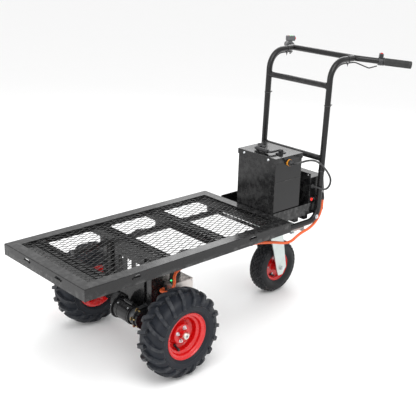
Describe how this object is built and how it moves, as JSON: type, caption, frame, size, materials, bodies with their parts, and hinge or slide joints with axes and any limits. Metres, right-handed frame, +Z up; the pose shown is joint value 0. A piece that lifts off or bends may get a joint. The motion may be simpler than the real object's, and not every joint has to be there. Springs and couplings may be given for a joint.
{
  "type": "power wheelbarrow",
  "caption": "Battery powered flat-bed barrow: a mesh load deck on two driven wheels and a swivel caster, with a tubular push handle, thumb throttle and battery boxes.",
  "frame": {"origin": "on the ground, under the middle of the machine’s length and width", "axes": "+X forward, away from the operator; +Y to the operator’s left; +Z up"},
  "size_m": [1.608, 0.7156, 1.0926],
  "materials": {
    "frame_black": "gloss black powder coat",
    "mesh_black": "satin black",
    "box_black": "gloss black",
    "zinc": "bright zinc plate",
    "gold_zinc": "yellow zinc plate",
    "steel": "machined steel",
    "tyre": "moulded rubber",
    "rim_red": "gloss red",
    "grip_rubber": "ribbed rubber",
    "switch_plastic": "black moulding",
    "pod_grey": "grey moulding",
    "display": "dark window",
    "button_red": "red moulding",
    "cable_black": "rubber sheath",
    "tie_black": "nylon",
    "conduit_orange": "corrugated orange conduit",
    "amber": "amber moulding",
    "battery_grey": "battery case",
    "controller_alu": "extruded aluminium",
    "cast_alu": "die-cast aluminium",
    "motor_black": "gloss black"
  },
  "bodies": {
    "chassis": {"axle_posts": "frame_black", "axle_tubes": "frame_black", "batteries": "battery_grey", "battery_case": "box_black", "battery_lead": "cable_black", "battery_lid": "box_black", "battery_plug": "amber", "battery_socket": "amber", "battery_tray": "frame_black", "bed_front_angle": "frame_black", "bed_left_angle": "frame_black", "bed_rear_angle": "frame_black", "bed_right_angle": "frame_black", "cable_ties": "tie_black", "carry_brackets": "box_black", "caster_mount_plate": "frame_black", "charge_display": "display", "charge_port": "switch_plastic", "charger": "cast_alu", "conduit_boot": "cable_black", "controller_case": "controller_alu", "crossmembers": "frame_black", "deck_mesh": "mesh_black", "fasteners": "gold_zinc", "gear_case": "cast_alu", "gear_cover": "frame_black", "handle_cables": "cable_black", "handle_crossbars": "frame_black", "handlebar": "frame_black", "left_grip": "grip_rubber", "left_handle_tube": "frame_black", "motor_barrel": "motor_black", "motor_end_cap": "motor_black", "power_box_case": "box_black", "power_box_cover": "box_black", "right_grip": "grip_rubber", "right_handle_tube": "frame_black", "shaft_bearings": "steel", "switch_housing": "switch_plastic", "throttle_housing": "pod_grey", "wiring_conduit": "conduit_orange"},
    "left_wheel": {"left_tyre": "tyre", "left_rim": "rim_red", "left_half_shaft": "steel", "left_wheel_fittings": "gold_zinc"},
    "right_wheel": {"right_tyre": "tyre", "right_rim": "rim_red", "right_half_shaft": "steel", "right_wheel_fittings": "gold_zinc"},
    "caster_swivel": {"caster_fork": "zinc", "caster_axle": "gold_zinc"},
    "caster_wheel": {"caster_tyre": "tyre", "caster_rim": "rim_red"},
    "carry_bail": {"carry_handle": "box_black"},
    "thumb_throttle": {"throttle_lever": "switch_plastic"},
    "start_button": {"power_button": "button_red"},
    "rocker_switch": {"direction_rocker": "switch_plastic"},
    "box_switch": {"main_switch": "button_red"},
    "final_gear": {"differential": "steel"},
    "rotor": {"motor_rotor": "steel"}
  },
  "joints": [
    {"name": "left_wheel_spin", "type": "hinge", "parent": "chassis", "child": "left_wheel", "pos_m": [0.4075, 0.276, 0.168], "axis": [0, 1, 0], "continuous": true},
    {"name": "right_wheel_spin", "type": "hinge", "parent": "chassis", "child": "right_wheel", "pos_m": [0.4075, -0.276, 0.168], "axis": [0, 1, 0], "continuous": true},
    {"name": "caster_swivel_turn", "type": "hinge", "parent": "chassis", "child": "caster_swivel", "pos_m": [-0.34, 0, 0.33], "axis": [0, 0, 1], "continuous": true},
    {"name": "caster_wheel_spin", "type": "hinge", "parent": "caster_swivel", "child": "caster_wheel", "pos_m": [-0.39, 0, 0.123], "axis": [0, 1, 0], "continuous": true},
    {"name": "carry_handle_lift", "type": "hinge", "parent": "chassis", "child": "carry_bail", "pos_m": [-0.284, 0.0435, 0.694], "axis": [0, 1, 0], "range_deg": [-180, 0]},
    {"name": "throttle_push", "type": "hinge", "parent": "chassis", "child": "thumb_throttle", "pos_m": [-0.70124, -0.24939, 1.04594], "axis": [-0.6794, -0.7286, -0.0872], "range_deg": [0, 30], "stiffness_Nm_per_rad": 0.5, "springref_deg": -5.73},
    {"name": "start_button_press", "type": "slide", "parent": "chassis", "child": "start_button", "axis": [0.7314, -0.682, 0], "range_m": [0, 0.0015], "stiffness_N_per_m": 1500, "springref_m": -0.001},
    {"name": "rocker_tip", "type": "hinge", "parent": "chassis", "child": "rocker_switch", "pos_m": [-0.70581, 0.25428, 1.07647], "axis": [-0.6794, 0.7286, -0.0872], "range_deg": [0, 22]},
    {"name": "box_switch_press", "type": "slide", "parent": "chassis", "child": "box_switch", "axis": [0, -1, 0], "range_m": [0, 0.002], "stiffness_N_per_m": 1500, "springref_m": -0.001},
    {"name": "motor_spin", "type": "hinge", "parent": "chassis", "child": "rotor", "pos_m": [0.47427, 0.06, 0.19], "axis": [0, 1, 0], "continuous": true},
    {"name": "differential_spin", "type": "hinge", "parent": "chassis", "child": "final_gear", "pos_m": [0.4075, 0.119, 0.168], "axis": [0, 1, 0], "continuous": true}
  ],
  "couplings": [
    {"joint": "differential_spin", "follows": "motor_spin", "ratio": -0.46154}
  ]
}
